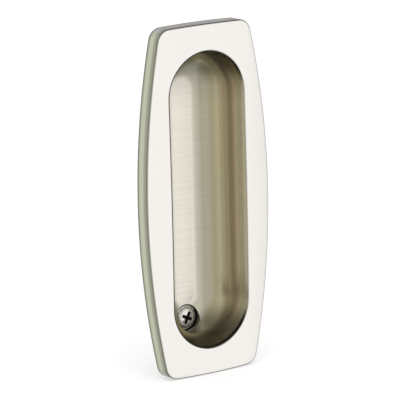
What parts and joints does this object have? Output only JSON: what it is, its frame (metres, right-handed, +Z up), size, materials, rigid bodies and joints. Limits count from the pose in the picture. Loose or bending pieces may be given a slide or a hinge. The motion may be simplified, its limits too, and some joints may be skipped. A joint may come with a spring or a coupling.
{
  "type": "pocket door pull",
  "caption": "Flush pull for a sliding pocket door: a thick crowned plate with bowed sides and a deep obround finger cup, held by a countersunk wood screw through the cup's floor.",
  "frame": {"origin": "middle of the pull on the surface of the door, in the plane of the flat seat on the back of the plate", "axes": "+Z up along the length of the pull, +Y into the door, -Y out of the face towards the hand, +X to the right seen from the front"},
  "size_m": [0.058, 0.0381, 0.14],
  "materials": {
    "pull_plate": "satin nickel plate on a brass casting",
    "screw": "polished nickel plate on steel"
  },
  "bodies": {
    "root": {"pull_plate": "pull_plate", "fixing_screw": "screw"}
  },
  "joints": []
}
